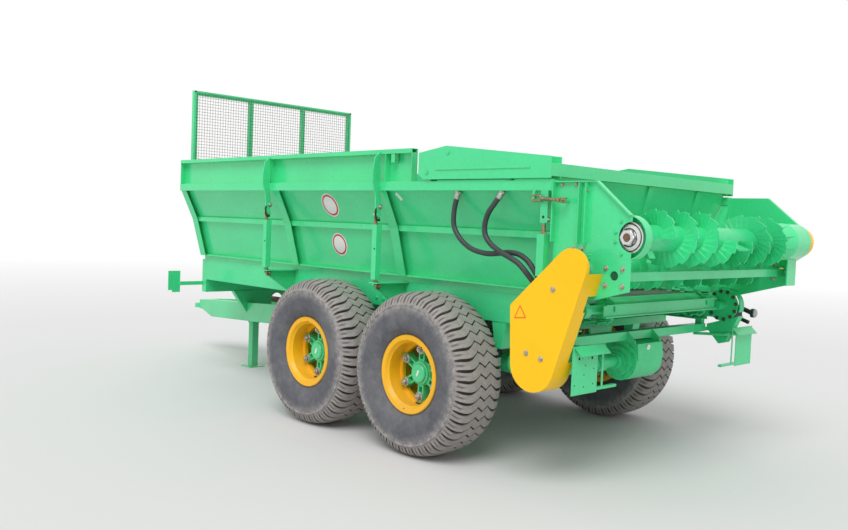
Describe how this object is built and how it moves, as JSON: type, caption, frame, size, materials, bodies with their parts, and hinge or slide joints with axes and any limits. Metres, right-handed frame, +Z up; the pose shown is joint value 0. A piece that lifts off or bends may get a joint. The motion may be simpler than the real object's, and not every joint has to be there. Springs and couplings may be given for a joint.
{
  "type": "manure spreader",
  "caption": "Tandem-axle trailed manure spreader with a V-shaped green hopper, floor conveyor, lifting rear gate, notched cross augers and yellow chain guards.",
  "frame": {"origin": "centre of the drawbar's hitch eye", "axes": "+X rearwards along the machine, +Y to its right side, +Z up out of the hitch eye's bore"},
  "size_m": [6.4948, 2.5, 2.665],
  "materials": {
    "green_paint": "satin",
    "yellow_paint": "satin",
    "dark_paint": "satin",
    "tyre": "matte",
    "black_rubber": "matte",
    "bare_steel": "satin"
  },
  "bodies": {
    "frame": {"spars": "green_paint", "cross_members": "green_paint", "outriggers": "green_paint", "drawbar": "green_paint", "hitch_eye": "green_paint", "jack_sleeve": "green_paint", "floor_plate": "dark_paint", "wall_left": "green_paint", "wall_right": "green_paint", "front_wall": "green_paint", "extension_boards": "green_paint", "front_guard": "green_paint", "guard_mesh": "bare_steel", "wall_struts": "green_paint", "cheek_left": "green_paint", "cheek_right": "green_paint", "crossbar": "green_paint", "auger_bearings": "bare_steel", "chain_guards": "yellow_paint", "gearbox": "green_paint", "conveyor_chains": "green_paint", "conveyor_slats": "green_paint", "conveyor_shafts": "green_paint", "conveyor_drive": "green_paint", "floor_lip": "green_paint", "lamp_brackets": "green_paint", "marker_lamps": "black_rubber", "axles": "green_paint", "leaf_springs": "dark_paint", "gate_brackets": "green_paint", "hose_front": "black_rubber", "hose_rear": "black_rubber", "hose_block": "bare_steel"},
    "jack": {"jack_leg": "green_paint"},
    "gate": {"gate": "green_paint"},
    "gate_barrels": {"gate_barrels": "green_paint"},
    "gate_rods": {"gate_rods": "bare_steel"},
    "upper_auger": {"upper_auger": "green_paint"},
    "lower_auger": {"lower_auger": "green_paint"},
    "drive_shaft": {"drive_shaft": "bare_steel"},
    "cross_shaft": {"cross_shaft": "bare_steel"},
    "wheel_front_left": {"tyre_front_left": "tyre", "rim_front_left": "yellow_paint", "hub_front_left": "green_paint"},
    "wheel_front_right": {"tyre_front_right": "tyre", "rim_front_right": "yellow_paint", "hub_front_right": "green_paint"},
    "wheel_rear_left": {"tyre_rear_left": "tyre", "rim_rear_left": "yellow_paint", "hub_rear_left": "green_paint"},
    "wheel_rear_right": {"tyre_rear_right": "tyre", "rim_rear_right": "yellow_paint", "hub_rear_right": "green_paint"}
  },
  "joints": [
    {"name": "jack_slide", "type": "slide", "parent": "frame", "child": "jack", "axis": [0, 0, 1], "range_m": [0, 0.25]},
    {"name": "gate_lift", "type": "hinge", "parent": "frame", "child": "gate", "pos_m": [4.78, 0, 1.362], "axis": [0, -1, 0], "range_deg": [0, 60]},
    {"name": "gate_barrel_tilt", "type": "hinge", "parent": "frame", "child": "gate_barrels", "pos_m": [5.45, 0, 1.332], "axis": [0, -1, 0], "range_deg": [-3.13, 1]},
    {"name": "gate_rod_slide", "type": "slide", "parent": "gate_barrels", "child": "gate_rods", "axis": [-0.951, 0, 0.3091], "range_m": [0, 0.2273]},
    {"name": "upper_auger_spin", "type": "hinge", "parent": "frame", "child": "upper_auger", "pos_m": [6.275, 0, 0.998], "axis": [0, 1, 0], "continuous": true},
    {"name": "lower_auger_spin", "type": "hinge", "parent": "frame", "child": "lower_auger", "pos_m": [6, 0, 0.805], "axis": [0, 1, 0], "continuous": true},
    {"name": "drive_shaft_spin", "type": "hinge", "parent": "frame", "child": "drive_shaft", "pos_m": [4.25, 0, 0.2], "axis": [1, 0, 0], "continuous": true},
    {"name": "cross_shaft_spin", "type": "hinge", "parent": "frame", "child": "cross_shaft", "pos_m": [5.74, 0, 0.2], "axis": [0, 1, 0], "continuous": true},
    {"name": "wheel_front_left_spin", "type": "hinge", "parent": "frame", "child": "wheel_front_left", "pos_m": [3.7, -1.045, 0.055], "axis": [0, 1, 0], "continuous": true},
    {"name": "wheel_front_right_spin", "type": "hinge", "parent": "frame", "child": "wheel_front_right", "pos_m": [3.7, 1.045, 0.055], "axis": [0, 1, 0], "continuous": true},
    {"name": "wheel_rear_left_spin", "type": "hinge", "parent": "frame", "child": "wheel_rear_left", "pos_m": [4.8, -1.045, 0.055], "axis": [0, 1, 0], "continuous": true},
    {"name": "wheel_rear_right_spin", "type": "hinge", "parent": "frame", "child": "wheel_rear_right", "pos_m": [4.8, 1.045, 0.055], "axis": [0, 1, 0], "continuous": true}
  ],
  "couplings": [
    {"joint": "gate_barrel_tilt", "follows": "gate_lift", "ratio": -0.043755},
    {"joint": "gate_rod_slide", "follows": "gate_lift", "m_per_rad": 0.21608}
  ]
}
